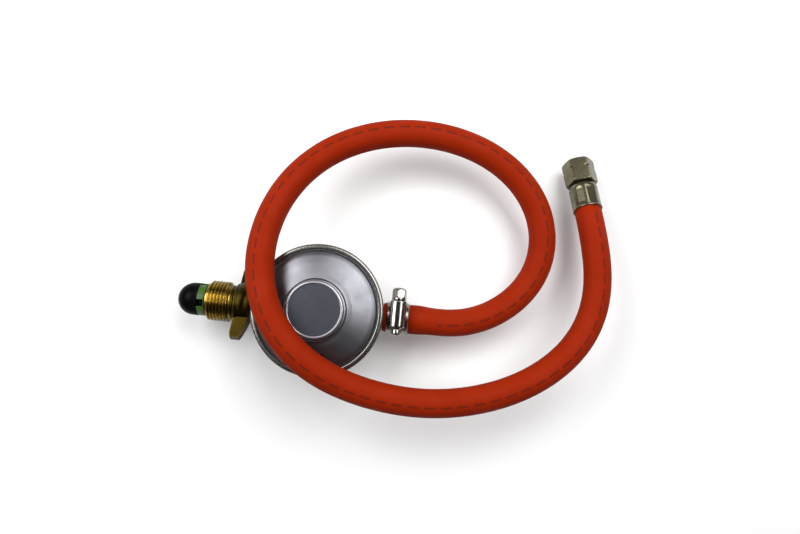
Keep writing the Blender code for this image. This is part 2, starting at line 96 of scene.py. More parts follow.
# Camera, in millimetres and degrees
LOOK_AT = Vector((41.8, 30.5, 0))
CAMERA_DISTANCE = 369.0
CAMERA_ELEVATION = 85.0
CAMERA_TURN = 5.5
CAMERA_LENS = 27.86

# Middle line of the free hose, from the nozzle, round the loop and over the regulator
HOSE_ROUTE = (
    (59, 0, 22), (68, 0, 22), (79, 2, 21), (91, 6, 20), (103, 13, 19), (113, 23, 18),
    (119, 35, 18), (121, 48, 19), (119, 61, 20), (113, 74, 21), (103, 85, 23), (90, 94, 25),
    (74, 100, 27), (55, 103, 29), (35, 102, 31), (16, 97, 32), (-1, 88, 34), (-15, 75, 36),
    (-24, 61, 39), (-29, 46, 42), (-31, 30, 45), (-29, 13, 49), (-23, -2, 52.5), (-14, -15, 54.5),
    (-2, -26, 51.5), (12, -34, 47), (28, -39, 44), (44, -42, 42), (61, -43, 40), (78, -41, 38),
    (94, -37, 37), (110, -31, 35), (125, -21, 33), (138, -9, 31), (147, 6, 29), (151, 23, 27),
    (151, 41, 25), (148, 58, 22),
)
# Lengths of the free hose that stay straight at its two ends
STRAIGHT_START = 3.0
STRAIGHT_END = 6.0
# The length over which bends even out, the weight that holds a straight end, and the path's step
EASE = 12.0
FIRM = 1e9
PATH_STEP = 1.5

# From none to full: where a mesh's "edge" value counts as a worn edge with a painted highlight, and
# as a corner with painted shade
WORN_AND_LIT_EDGE = (0.04, 0.25)
SHADED_CORNER = (-0.03, -0.2)


def metres(point):
    """A point in millimetres as a plain tuple in metres."""
    return tuple(value * 0.001 for value in point)


# ---- camera and light ----


def camera():
    """The photograph's view, almost straight down."""
    data = bpy.data.cameras.new("camera")
    data.lens = CAMERA_LENS
    data.clip_start = 0.01
    obj = bpy.data.objects.new("camera", data)
    bpy.context.scene.collection.objects.link(obj)
    tilt = math.radians(90 - CAMERA_ELEVATION)
    turn = math.radians(CAMERA_TURN)
    aside = math.sin(tilt)
    back = Vector((aside * math.sin(turn), -aside * math.cos(turn), math.cos(tilt)))
    obj.location = metres(LOOK_AT + back * CAMERA_DISTANCE)
    obj.rotation_euler = (tilt, 0, turn)
    bpy.context.scene.camera = obj


def softbox(name, place, size, power):
    """A rectangular soft light, in metres and watts, that faces the middle of the view."""
    data = bpy.data.lights.new(name, "AREA")
    data.shape = "RECTANGLE"
    data.size, data.size_y = size
    data.energy = power
    obj = bpy.data.objects.new(name, data)
    obj.location = place
    aim = Vector(metres(LOOK_AT)) - Vector(place)
    obj.rotation_euler = aim.to_track_quat("-Z", "Y").to_euler()
    bpy.context.scene.collection.objects.link(obj)


def paper_floor():
    """White paper that glows more further out, so that it meets the sky softly."""
    reach = 4
    glow_starts, glow_ends = 0.4, 1.0
    near_glow, far_glow = 0.10, 0.25
    mesh = bpy.data.meshes.new("floor")
    form = bmesh.new()
    bmesh.ops.create_grid(form, x_segments=1, y_segments=1, size=reach)
    form.to_mesh(mesh)
    form.free()
    floor = bpy.data.objects.new("floor", mesh)
    bpy.context.scene.collection.objects.link(floor)
    paper = Finish("floor_paper", roughness=0.9)
    paper.colour(paper.mix(paper.noise(40), (0.74, 0.74, 0.74), (0.76, 0.76, 0.76)))
    paper.shader.inputs["Specular IOR Level"].default_value = 0.1
    paper.shader.inputs["Emission Color"].default_value = (1, 1, 1, 1)
    distance = paper.tree.nodes.new("ShaderNodeVectorMath")
    distance.operation = "LENGTH"
    paper.feed(distance.inputs[0], paper.place)
    glow = paper.remap(distance.outputs["Value"], glow_starts, glow_ends, near_glow, far_glow)
    paper.feed(paper.shader.inputs["Emission Strength"], glow)
    mesh.materials.append(paper.material)


def sky():
    """Grey studio sky that darkens from the horizon towards the ceiling."""
    horizon, low, ceiling = 0.0, 0.12, 0.55
    world = bpy.data.worlds.new("studio")
    world.use_nodes = True
    tree = world.node_tree
    place = tree.nodes.new("ShaderNodeTexCoord")
    split = tree.nodes.new("ShaderNodeSeparateXYZ")
    ramp = tree.nodes.new("ShaderNodeValToRGB")
    tree.links.new(place.outputs["Generated"], split.inputs[0])
    tree.links.new(split.outputs["Z"], ramp.inputs[0])
    tree.links.new(ramp.outputs[0], tree.nodes["Background"].inputs["Color"])
    stops = ramp.color_ramp.elements
    stops[0].position = horizon
    stops[0].color = (0.30, 0.30, 0.30, 1)
    stops[1].position = ceiling
    stops[1].color = (0.03, 0.03, 0.032, 1)
    stops.new(low).color = (0.14, 0.14, 0.14, 1)
    bpy.context.scene.world = world


def studio():
    """Two soft lights above a white floor, under a grey sky."""
    softbox("light_left", (-0.40, 0.17, 0.53), (0.52, 0.40), 4.9)
    softbox("light_right", (0.29, 0.28, 0.55), (0.64, 0.40), 5.2)
    paper_floor()
    sky()
    bpy.context.scene.view_settings.view_transform = "Standard"


# ---- finishes ----


class Finish:
    """A Principled material, with short calls for the nodes that feed it."""

    def __init__(self, name, roughness, metallic=0.0):
        self.material = bpy.data.materials.new(name)
        self.material.use_nodes = True
        self.tree = self.material.node_tree
        self.shader = self.tree.nodes["Principled BSDF"]
        self.shader.inputs["Roughness"].default_value = roughness
        self.shader.inputs["Metallic"].default_value = metallic
        self.place = self.tree.nodes.new("ShaderNodeTexCoord").outputs["Object"]

    def feed(self, socket, value):
        """Links a node's output to a socket, or sets the socket to a number or a colour."""
        if isinstance(value, bpy.types.NodeSocket):
            self.tree.links.new(value, socket)
        elif isinstance(value, tuple) and len(value) == 3 and len(socket.default_value) == 4:
            socket.default_value = (*value, 1)
        else:
            socket.default_value = value

    def noise(self, scale, detail=3.0, stretch=None, place=None):
        """Noise with scale cells to a metre; a stretch below 1 draws it out along that axis."""
        place = place or self.place
        if stretch:
            mapping = self.tree.nodes.new("ShaderNodeMapping")
            self.feed(mapping.inputs["Vector"], place)
            mapping.inputs["Scale"].default_value = stretch
            place = mapping.outputs[0]
        noise = self.tree.nodes.new("ShaderNodeTexNoise")
        self.feed(noise.inputs["Vector"], place)
        noise.inputs["Scale"].default_value = scale
        noise.inputs["Detail"].default_value = detail
        return noise.outputs[0]

    def math(self, operation, a, b=0.0):
        node = self.tree.nodes.new("ShaderNodeMath")
        node.operation = operation
        self.feed(node.inputs[0], a)
        self.feed(node.inputs[1], b)
        return node.outputs[0]

    def remap(self, value, low, high, to_low=0.0, to_high=1.0):
        """Maps low..high to to_low..to_high, and no further."""
        node = self.tree.nodes.new("ShaderNodeMapRange")
        for socket, number in zip(node.inputs, (value, low, high, to_low, to_high)):
            self.feed(socket, number)
        return node.outputs[0]

    def mix(self, share, first, second):
        node = self.tree.nodes.new("ShaderNodeMix")
        node.data_type = "RGBA"
        self.feed(node.inputs["Factor"], share)
        self.feed(node.inputs[6], first)
        self.feed(node.inputs[7], second)
        return node.outputs[2]

    def attribute(self, name):
        node = self.tree.nodes.new("ShaderNodeAttribute")
        node.attribute_name = name
        return node.outputs["Fac"]

    def round_the_axis(self, axis="Z", height=0.0):
        """The radius and the height of a point about an axis, as a place for rings of noise."""
        shift = self.tree.nodes.new("ShaderNodeVectorMath")
        shift.operation = "SUBTRACT"
        self.feed(shift.inputs[0], self.place)
        shift.inputs[1].default_value = (0, 0, height)
        split = self.tree.nodes.new("ShaderNodeSeparateXYZ")
        self.feed(split.inputs[0], shift.outputs[0])
        others = [name for name in "XYZ" if name != axis]
        squares = [self.math("POWER", split.outputs[name], 2.0) for name in others]
        radius = self.math("SQRT", self.math("ADD", *squares))
        join = self.tree.nodes.new("ShaderNodeCombineXYZ")
        self.feed(join.inputs[0], radius)
        self.feed(join.inputs[1], split.outputs[axis])
        return join.outputs[0]

    def colour(self, value):
        self.feed(self.shader.inputs["Base Color"], value)

    def roughness(self, value):
        self.feed(self.shader.inputs["Roughness"], value)

    def bump(self, *layers):
        """Stacks (height, depth in millimetres) layers into the shading normal."""
        normal = None
        for height, depth in layers:
            node = self.tree.nodes.new("ShaderNodeBump")
            node.inputs["Distance"].default_value = depth * 0.001
            self.feed(node.inputs["Height"], height)
            if normal:
                self.feed(node.inputs["Normal"], normal)
            normal = node.outputs[0]
        self.feed(self.shader.inputs["Normal"], normal)


def toned(colour, factor, lift=0.0):
    """A colour made lighter or darker, but never brighter than white."""
    return tuple(min(1.0, value * factor + lift) for value in colour)


def metal(
    name, bright, dull, roughness, grain, wear_and_highlight=0.5, corner_shade=0.5, mottle=120, rings=None,
    forged_from=None, metallic=1.0,
):
    """Metal that is mottled between two colours, brighter on worn edges with a painted highlight,
    and darker in corners with painted shade.

    grain is the depth of its fine skin in millimetres. rings is an axis and its height, for
    fine turning marks round it. Past forged_from along X it is as forged: duller and rougher.
    """
    skin_scale, dent_scale, turning_scale = 1500, 260, 2600
    wear_and_highlight_tone, corner_shade_tone, forged_tone = 1.35, 0.22, 0.18
    forged_share, forged_blend, forged_rougher = 0.95, 0.0004, 0.16
    finish = Finish(name, roughness, metallic)
    cloud = finish.remap(finish.noise(mottle, 5), 0.35, 0.68)
    colour = finish.mix(cloud, bright, dull)
    forged = 0.0
    if forged_from is not None:
        split = finish.tree.nodes.new("ShaderNodeSeparateXYZ")
        finish.feed(split.inputs[0], finish.place)
        turned_end, forged_start = forged_from - forged_blend, forged_from + forged_blend
        forged = finish.remap(split.outputs["X"], turned_end, forged_start)
        share = finish.math("MULTIPLY", forged, forged_share)
        colour = finish.mix(share, colour, toned(dull, forged_tone))
    edge = finish.attribute("edge")
    # Brighter on convex edges: partly wear, partly a painted highlight
    on_edges = finish.remap(edge, *WORN_AND_LIT_EDGE, 0.0, wear_and_highlight)
    colour = finish.mix(on_edges, colour, toned(bright, wear_and_highlight_tone))
    # Darker in concave corners: painted shade
    painted_corner_shade = finish.remap(edge, *SHADED_CORNER, 0.0, corner_shade)
    finish.colour(finish.mix(painted_corner_shade, colour, toned(dull, corner_shade_tone)))
    fine = finish.noise(skin_scale, 3)
    halves = [finish.math("MULTIPLY", value, 0.5) for value in (cloud, fine)]
    spread = finish.math("ADD", *halves)
    plain = finish.remap(spread, 0.2, 0.8, roughness * 0.88, roughness * 1.15)
    finish.roughness(finish.math("ADD", plain, finish.math("MULTIPLY", forged, forged_rougher)))
    layers = [(fine, grain), (finish.noise(dent_scale, 2), grain * 2.5)]
    if rings:
        turning = finish.noise(turning_scale, 2, place=finish.round_the_axis(*rings))
        layers.append((turning, grain))
    finish.bump(*layers)
    return finish.material


def plastic(name, light, dark, roughness, grain, gloss=0.25, mottle=300):
    """Rubber or plastic with a faint mottle, a fine skin and paler scuffs on its edges."""
    skin_scale, dent_scale = 2200, 420
    scuff_tone, scuff_lift = 1.5, 0.01
    finish = Finish(name, roughness)
    cloud = finish.remap(finish.noise(mottle, 4), 0.35, 0.65)
    colour = finish.mix(cloud, light, dark)
    on_edges = finish.remap(finish.attribute("edge"), 0.05, 0.3, 0.0, 0.4)
    finish.colour(finish.mix(on_edges, colour, toned(light, scuff_tone, scuff_lift)))
    fine = finish.noise(skin_scale, 3)
    finish.roughness(finish.remap(fine, 0.3, 0.7, roughness * 0.8, roughness * 1.25))
    finish.bump((fine, grain), (finish.noise(dent_scale, 2), grain * 2))
    finish.shader.inputs["Specular IOR Level"].default_value = gloss
    return finish.material


def hose_rubber():
    """Orange-red gas hose: a faint mottle, pale scuffs, and a broken line in darker ink."""
    dash_and_gap = 8.5
    finish = Finish("hose_rubber", 0.55)
    finish.shader.inputs["Specular IOR Level"].default_value = 0.03
    cloud = finish.remap(finish.noise(70, 5), 0.35, 0.7)
    colour = finish.mix(cloud, (0.245, 0.0155, 0.002), (0.225, 0.0135, 0.0016))
    scuff = finish.remap(finish.noise(260, 6, stretch=(1, 1, 0.5)), 0.66, 0.78, 0.0, 0.35)
    colour = finish.mix(scuff, colour, (0.26, 0.028, 0.007))
    along = finish.attribute("along")
    off_line = finish.math("ABSOLUTE", finish.attribute("stripe"))
    line = finish.remap(off_line, 0.5, 0.65, 1.0, 0.0)
    dash = finish.math("PINGPONG", along, dash_and_gap / 2)
    ink = finish.math("MULTIPLY", line, finish.remap(dash, 1.2, 1.45))
    rubbed = finish.remap(finish.noise(900, 3), 0.25, 0.45, 0.35, 0.85)
    ink = finish.math("MULTIPLY", ink, rubbed)
    finish.colour(finish.mix(ink, colour, (0.10, 0.012, 0.006)))
    skin_depth, dent_depth = 0.02, 0.05
    fine = finish.noise(1500, 2)
    finish.roughness(finish.remap(cloud, 0.0, 1.0, 0.5, 0.62))
    finish.bump((fine, skin_depth), (finish.noise(300, 3), dent_depth))
    return finish.material


def make_finishes():
    """Every finish by name, with all the CAD nodes' material slots among them."""
    # In these metals edge brightening is wear plus a painted highlight, and corner darkening is
    # painted shade
    metals = {
        "grey_paint": dict(
            bright=(0.168, 0.168, 0.183), dull=(0.152, 0.152, 0.166), roughness=0.395, grain=0.012,
            wear_and_highlight=0.15, corner_shade=0.2, mottle=90,
        ),
        "bright_steel": dict(
            bright=(0.29, 0.285, 0.265), dull=(0.24, 0.235, 0.215), roughness=0.17, grain=0.004,
            wear_and_highlight=0.3, corner_shade=0.8, mottle=150,
        ),
        # Lighter copy of the dome's grey paint, for the cap: painted light
        "cap_paint_lit": dict(
            bright=(0.34, 0.34, 0.36), dull=(0.31, 0.31, 0.33), roughness=0.4, grain=0.006,
            wear_and_highlight=0.3, corner_shade=0.2,
        ),
        # Darker copy of the bright steel, for the clip's band and the rolled rim: painted shade
        "band_steel_shaded": dict(
            bright=(0.24, 0.235, 0.22), dull=(0.19, 0.185, 0.17), roughness=0.26, grain=0.006,
        ),
        "brass": dict(
            bright=(0.36, 0.25, 0.05), dull=(0.15, 0.098, 0.014), roughness=0.28, grain=0.015,
            corner_shade=0.9, mottle=140, rings=("X", PORT_Z * 0.001), forged_from=-0.0486,
        ),
        "fitting_steel": dict(
            bright=(0.15, 0.137, 0.088), dull=(0.105, 0.093, 0.056), roughness=0.26, grain=0.010,
            wear_and_highlight=0.9, corner_shade=0.8, mottle=160, metallic=0.85,
        ),
        "spring_steel": dict(
            bright=(0.5, 0.5, 0.52), dull=(0.4, 0.4, 0.42), roughness=0.3, grain=0.01,
        ),
        "cast_zinc": dict(
            bright=(0.40, 0.40, 0.41), dull=(0.33, 0.33, 0.34), roughness=0.45, grain=0.05,
            wear_and_highlight=0.3, mottle=200,
        ),
    }
    plastics = {
        "label_grey": dict(
            light=(0.036, 0.038, 0.050), dark=(0.032, 0.034, 0.045), roughness=0.45, grain=0.006,
        ),
        "nose_rubber": dict(
            light=(0.003, 0.003, 0.0035), dark=(0.002, 0.002, 0.002), roughness=0.24, grain=0.01,
            gloss=0.025,
        ),
        "collar_green": dict(
            light=(0.042, 0.098, 0.017), dark=(0.024, 0.06, 0.01), roughness=0.33, grain=0.015,
        ),
        "diaphragm_rubber": dict(
            light=(0.03, 0.03, 0.03), dark=(0.02, 0.02, 0.02), roughness=0.6, grain=0.03,
        ),
        "white_plastic": dict(
            light=(0.75, 0.75, 0.72), dark=(0.7, 0.7, 0.66), roughness=0.5, grain=0.01,
        ),
    }
    made = {name: metal(name, **look) for name, look in metals.items()}
    made.update({name: plastic(name, **look) for name, look in plastics.items()})
    made["hose_rubber"] = hose_rubber()
    return made


# ---- shaping ----


def rounded(outline):
    """The outline with each corner that has a third number rounded to that radius."""
    arc_step = 15
    points = []
    count = len(outline)
    for i, corner in enumerate(outline):
        here = Vector(corner[:2])
        radius = corner[2] if len(corner) > 2 else 0
        if not radius:
            points.append(tuple(here))
            continue
        back = (Vector(outline[i - 1][:2]) - here).normalized()
        ahead = (Vector(outline[(i + 1) % count][:2]) - here).normalized()
        half = back.angle(ahead) / 2
        centre = here + (back + ahead).normalized() * radius / math.sin(half)
        start = here + back * radius / math.tan(half) - centre
        sweep_angle = math.pi - 2 * half
        side = 1 if start.x * ahead.y - start.y * ahead.x > 0 else -1
        steps = max(2, math.ceil(math.degrees(sweep_angle) / arc_step))
        for k in range(steps + 1):
            turned = Matrix.Rotation(side * sweep_angle * k / steps, 2) @ start
            points.append(tuple(centre + turned))
    return points


def dense(outline, step):
    """The outline with long straight stretches divided into steps."""
    points = [outline[0]]
    for before, after in zip(outline, outline[1:]):
        reach = math.dist(before, after)
        count = max(1, math.ceil(reach / step))
        for k in range(1, count + 1):
            share = k / count
            points.append(tuple(a + (b - a) * share for a, b in zip(before, after)))
    return points


def skin(form, rings, closed):
    """Faces between neighbouring rings; a ring of one point closes an end."""
    pairs = list(zip(rings, rings[1:]))
    if closed:
        pairs.append((rings[-1], rings[0]))
    for upper, lower in pairs:
        count = max(len(upper), len(lower))
        if count == 1:
            continue
        for i in range(count):
            j = (i + 1) % count
            corners = [
                upper[i % len(upper)], lower[i % len(lower)],
                lower[j % len(lower)], upper[j % len(upper)],
            ]
            form.faces.new(list(dict.fromkeys(corners)))


def turn(outline, place=Matrix(), steps=96, shape=None):
    """A turned form from (radius, height) points that run down its outer side.

    shape(angle, radius, height) can move a point, to give it threads, flats or crimps.
    """
    form = bmesh.new()
    rings = []
    for radius, height in outline:
        ring = []
        for i in range(steps if radius > 0 else 1):
            angle = 2 * math.pi * i / steps
            r, h = shape(angle, radius, height) if shape else (radius, height)
            point = Vector((r * math.cos(angle), r * math.sin(angle), h))
            ring.append(form.verts.new(place @ point))
        rings.append(ring)
    skin(form, rings, closed=outline[0][0] > 0 or outline[-1][0] > 0)
    return form


def rod(radius, low, high, place=Matrix(), steps=64):
    """A plain round bar along a place's Z."""
    return turn([(0, high), (radius, high), (radius, low), (0, low)], place, steps)


def loft(loops, place=Matrix()):
    """A solid through loops of points, with a flat face on its first and last."""
    form = bmesh.new()
    rings = [[form.verts.new(place @ Vector(point)) for point in loop] for loop in loops]
    skin(form, rings, closed=False)
    form.faces.new(rings[0])
    form.faces.new(rings[-1])
    return form


def axes(origin, along, up):
    """A place whose Z lies along one direction and whose X is as near as it can be to up."""
    z = Vector(along).normalized()
    x = (Vector(up) - z * Vector(up).dot(z)).normalized()
    matrix = Matrix((x, z.cross(x), z)).transposed().to_4x4()
    matrix.translation = Vector(origin)
    return matrix


def fitting_axis():
    """The end fitting's direction, from the hose towards the nut."""
    flat = math.cos(FITTING_DIP)
    heading = (flat * math.cos(FITTING_HEADING), flat * math.sin(FITTING_HEADING))
    return Vector((*heading, -math.sin(FITTING_DIP)))


PORT = axes((0, 0, PORT_Z), (1, 0, 0), (0, 0, 1))
CLIP = axes((CLIP_X, 0, CLIP_AXIS_Z), (0, 1, 0), (0, 0, 1))
FITTING = axes(FITTING_BACK, fitting_axis(), (0, 0, 1))


def block(low, high, place=Matrix()):
    """A box between two corners."""
    form = bmesh.new()
    bmesh.ops.create_cube(form, size=1)
    for vert in form.verts:
        corner = [low[k] if vert.co[k] < 0 else high[k] for k in range(3)]
        vert.co = place @ Vector(corner)
    return form


def loose_object(form):
    """A form as an object for a modifier to work on."""
    mesh = bpy.data.meshes.new("loose")
    bmesh.ops.recalc_face_normals(form, faces=form.faces)
    form.to_mesh(mesh)
    form.free()
    obj = bpy.data.objects.new("loose", mesh)
    bpy.context.scene.collection.objects.link(obj)
    return obj


def read_back(*objects):
    """The first object's form as its modifiers leave it; all the objects are removed."""
    bpy.context.view_layer.update()
    form = bmesh.new()
    form.from_object(objects[0], bpy.context.evaluated_depsgraph_get())
    for obj in objects:
        mesh = obj.data
        bpy.data.objects.remove(obj)
        bpy.data.meshes.remove(mesh)
    return form


def combine(form, other, operation):
    """The exact Boolean of two closed forms."""
    first, second = loose_object(form), loose_object(other)
    modifier = first.modifiers.new("combine", "BOOLEAN")
    modifier.operation = operation
    modifier.object = second
    modifier.solver = "EXACT"
    return read_back(first, second)


def cast(form, grain, rounds):
    """Melts a form's joins into fillets, as on a casting or a forging."""
    obj = loose_object(form)
    remesh = obj.modifiers.new("remesh", "REMESH")
    remesh.mode = "VOXEL"
    remesh.voxel_size = grain
    smooth = obj.modifiers.new("smooth", "SMOOTH")
    smooth.factor = 0.5
    smooth.iterations = rounds
    return read_back(obj)


def mark_edges(form):
    """Stores how far each point stands out from its neighbours: over 0 on an edge."""
    form.normal_update()
    layer = form.verts.layers.float.new("edge")
    bends = {}
    for vert in form.verts:
        total = 0.0
        for edge in vert.link_edges:
            away = edge.other_vert(vert).co - vert.co
            total -= vert.normal.dot(away.normalized()) if away.length else 0.0
        bends[vert.index] = total / max(1, len(vert.link_edges))
    for vert in form.verts:
        near = [bends[edge.other_vert(vert).index] for edge in vert.link_edges]
        vert[layer] = (bends[vert.index] * 2 + sum(near)) / (2 + len(near))


def piece(form, node, *others, finish=None, smooth_angle=38, body=None):
    """Makes the form an object that stands for its CAD nodes and rides on the first one's body."""
    form.verts.index_update()
    bmesh.ops.recalc_face_normals(form, faces=form.faces)
    mark_edges(form)
    bmesh.ops.scale(form, vec=(0.001, 0.001, 0.001), verts=form.verts)
    mesh = bpy.data.meshes.new(node)
    form.to_mesh(mesh)
    form.free()
    mesh.shade_smooth()
    mesh.set_sharp_from_angle(angle=math.radians(smooth_angle))
    mesh.materials.append(finishes[finish or SLOTS[node]])
    obj = bpy.data.objects.new(f"{node}_look", mesh)
    bpy.context.scene.collection.objects.link(obj)
    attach(obj, body or frame["nodes"][node]["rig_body"])
    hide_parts(node, *others)
    return obj


def step_up(value, start, end):
    """0 before start, 1 after end, and a smooth rise between them."""
    share = min(1.0, max(0.0, (value - start) / (end - start)))
    return share * share * (3 - 2 * share)


def left_hand_thread(angle, height, pitch):
    """0 in the root and 1 on the crest of a left-hand thread, with short flats on both."""
    root_share, flank_share = 0.12, 0.72
    share = (height / pitch + angle / (2 * math.pi)) % 1
    wave = 1 - abs(2 * share - 1)
    return min(1.0, max(0.0, (wave - root_share) / flank_share))


def hexagon(angle, across_flats, turn_angle=0.0):
    """Radius of a hexagon's side at an angle."""
    sixth = math.pi / 3
    off_flat = (angle - turn_angle + sixth / 2) % sixth - sixth / 2
    return across_flats / 2 / math.cos(off_flat)


# ---- hose ----


def smooth_curve(points, spacing, first_direction, last_direction):
    """Even points on the cubic spline through the route, with set end directions."""
    fine_per_mm = 4
    route = np.array(points, dtype=float)
    steps = np.linalg.norm(np.diff(route, axis=0), axis=1)
    at = np.concatenate(([0.0], np.cumsum(steps)))
    n = len(route)
    left = np.zeros((n, n))
    right = np.zeros((n, 3))
    left[0, 0] = 1
    right[0] = first_direction
    left[-1, -1] = 1
    right[-1] = last_direction
    for i in range(1, n - 1):
        before, after = steps[i - 1], steps[i]
        left[i, i - 1:i + 2] = (after, 2 * (before + after), before)
        rise_before = (route[i] - route[i - 1]) / before
        rise_after = (route[i + 1] - route[i]) / after
        right[i] = 3 * (after * rise_before + before * rise_after)
    slopes = np.linalg.solve(left, right)

    def place(t):
        i = int(np.clip(np.searchsorted(at, t) - 1, 0, n - 2))
        span = at[i + 1] - at[i]
        s = (t - at[i]) / span
        return (
            (1 + 2 * s) * (1 - s) ** 2 * route[i]
            + s * (1 - s) ** 2 * span * slopes[i]
            + s ** 2 * (3 - 2 * s) * route[i + 1]
            + s ** 2 * (s - 1) * span * slopes[i + 1]
        )

    fine = np.array([place(t) for t in np.linspace(0, at[-1], int(at[-1] * fine_per_mm))])
    run = run_along(fine)
    even = np.linspace(0, run[-1], round(run[-1] / spacing) + 1)
    return np.column_stack([np.interp(even, run, fine[:, k]) for k in range(3)])


def run_along(path):
    """Distance from the start to each point of a path."""
    return np.concatenate(([0.0], np.cumsum(np.linalg.norm(np.diff(path, axis=0), axis=1))))


def ease_bends(path, straight_start, straight_end):
    """Evens out a path's bends, as a stiff hose does, and leaves its straight ends alone.

    It weighs the distance from the path against the change of bend, a third difference. The
    weight is the sixth power of the length to even out, counted in steps of the path.
    """
    count = len(path)
    run = run_along(path)
    straight = (run <= straight_start) | (run >= run[-1] - straight_end)
    hold = np.where(straight, FIRM, 1.0)
    bend_change = np.diff(np.eye(count), n=3, axis=0)
    stiffness = (EASE * (count - 1) / run[-1]) ** 6
    left = np.diag(hold) + stiffness * bend_change.T @ bend_change
    return np.linalg.solve(left, hold[:, None] * path)


def hose_path():
    """The hose's whole middle line, from the regulator's face to its end in the ferrule."""
    axis = fitting_axis()
    start = [(HOSE_START_X, 0, PORT_Z), ((HOSE_START_X + NOZZLE_END_X) / 2, 0, PORT_Z)]
    end = [FITTING_BACK - axis * STRAIGHT_END, FITTING_BACK, FITTING_BACK + axis * FERRULE_DEPTH]
    route = [*start, *HOSE_ROUTE, *(tuple(point) for point in end)]
    path = smooth_curve(route, PATH_STEP, (1, 0, 0), tuple(axis))
    on_nozzle = NOZZLE_END_X - HOSE_START_X
    return ease_bends(path, on_nozzle + STRAIGHT_START, STRAIGHT_END + FERRULE_DEPTH)


def hose_radius(s, length):
    """Outer radius: squeezed under the clip, swollen past it, and pressed into the ferrule."""
    swell, squeeze, end_round, press = 0.6, 0.42, 0.5, 0.32
    x = s + HOSE_START_X
    ferrule_edge = length - FERRULE_DEPTH
    radius = HOSE_R + swell * (1 - step_up(x, 53.5, 63.0))
    radius -= squeeze * (step_up(x, 36.6, 38.0) - step_up(x, 48.6, 50.2))
    radius -= end_round * (1 - step_up(s, 0.0, 0.9)) ** 2
    radius -= press * step_up(s, ferrule_edge - 1.2, ferrule_edge + 0.4)
    return radius


def hose():
    """The hose, with a blind bore at each end that takes the nozzle and the tail."""
    path = hose_path()
    run = run_along(path)
    length = run[-1]
    sides = 48
    line_angle = 0.22
    bore_r, nozzle_depth = 4.9, 23.5
    tail_bore_r, tail_depth = 4.75, 13.0
    edge_r = 7.3
    print_starts = nozzle_depth + 6
    rings = [(nozzle_depth, 0.0), (nozzle_depth, bore_r), (0.0, bore_r), (0.0, edge_r)]
    rings += [(s, hose_radius(s, length)) for s in run]
    rings += [(length, tail_bore_r), (length - tail_depth, tail_bore_r), (length - tail_depth, 0.0)]
    form = bmesh.new()
    along = form.verts.layers.float.new("along")
    stripe = form.verts.layers.float.new("stripe")
    tangents = np.gradient(path, axis=0)
    loops = []
    for s, radius in rings:
        centre, tangent = (
            Vector([np.interp(s, run, values[:, k]) for k in range(3)])
            for values in (path, tangents)
        )
        side = tangent.cross(Vector((0, 0, 1))).normalized()
        up = side.cross(tangent).normalized()
        loop = []
        for i in range(sides if radius > 0 else 1):
            angle = 2 * math.pi * i / sides
            out = up * math.cos(angle) + side * math.sin(angle)
            vert = form.verts.new(centre + out * radius)
            vert[along] = s
            off_line = (angle - line_angle + math.pi) % (2 * math.pi) - math.pi
            vert[stripe] = off_line * radius if s > print_starts else HOSE_R
            loop.append(vert)
        loops.append(loop)
    skin(form, loops, closed=False)
    tube = piece(form, "hose", "hose_on_nozzle", "hose_in_ferrule")
    return tube, path, length


# ---- regulator ----


def cover():
    """Pressed dome with its tower and a breather hole."""
    outline = rounded([
        (13.1, 45.6), (14.5, 45.6, 0.3), (14.5, 43.3, 0.3), (16.0, 43.3, 0.4), (16.6, 42.3, 1.2),
        (19.5, 41.75, 8), (25.5, 40.1, 12), (29.6, 38.8, 6), (31.8, 37.7, 1.2), (32.3, 35.9, 0.4),
        (34.1, 35.9), (34.1, 34.9), (30.6, 34.9), (30.2, 36.0), (28.6, 37.1), (25.4, 38.4),
        (21.0, 39.6), (16.0, 40.4), (13.1, 40.6),
    ])
    form = turn(dense(outline, 1.2), steps=144)
    hole = rod(1.0, 36, 43, Matrix.Translation((*BREATHER, 0)), 24)
    piece(combine(form, hole, "DIFFERENCE"), "upper_cover")


def rim():
    """Rolled ring with a round lip above and below."""
    outline = rounded([
        (32.9, 37.0, 0.6), (35.8, 37.0, 1.5), (35.8, 30.8, 1.5), (33.0, 30.8, 0.5), (33.0, 31.6),
        (34.4, 31.6), (34.4, 36.1), (32.9, 36.1),
    ])
    # The rim takes the darker copy of the steel: painted shade
    piece(turn(dense(outline, 0.8), steps=216), "clinch_ring", finish="band_steel_shaded")


def cap():
    """Pressed cap with a rounded lip, and the disc in its recess."""
    outline = rounded([
        (0, 46.9), (13.7, 46.9, 0.15), (13.75, 47.35, 0.3), (14.5, 47.75, 1.2), (15.3, 46.9, 0.9),
        (15.3, 43.6, 0.2), (14.8, 43.6, 0.1), (14.8, 46.0), (0, 46.0),
    ])
    # The cap takes the lighter copy of the dome's paint: painted light
    piece(turn(dense(outline, 1.0), steps=128), "tower_cap", finish="cap_paint_lit")
    disc = rounded([
        (0, 47.42), (12.6, 47.42, 0.1), (12.75, 47.36, 0.1), (12.9, 47.42, 0.1),
        (13.5, 47.42, 0.12), (13.5, 47.15, 0.05), (0, 47.15),
    ])
    piece(turn(disc, steps=128), "label_disc")


def give(obj):
    """Gives the piece a mesh of its own."""
    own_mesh(obj)


def diaphragm():
    """Rubber disc with a rolled fold and a bead that the two halves of the body clamp."""
    low, high = 29.6, 34.7
    outline = rounded([
        (3.1, 30.6), (22.6, 30.6, 0.8), (24.6, 31.6, 1.0), (27.6, 34.2, 0.8), (28.6, high, 0.8),
        (34.1, high), (34.1, 33.7), (28.9, 33.7, 0.5), (28.2, 33.3, 0.5), (25.3, 30.8, 0.8),
        (23.1, low, 0.8), (3.1, low),
    ])
    disc = piece(turn(dense(outline, 1.2), steps=96), "diaphragm", body="regulator")
    give(disc)


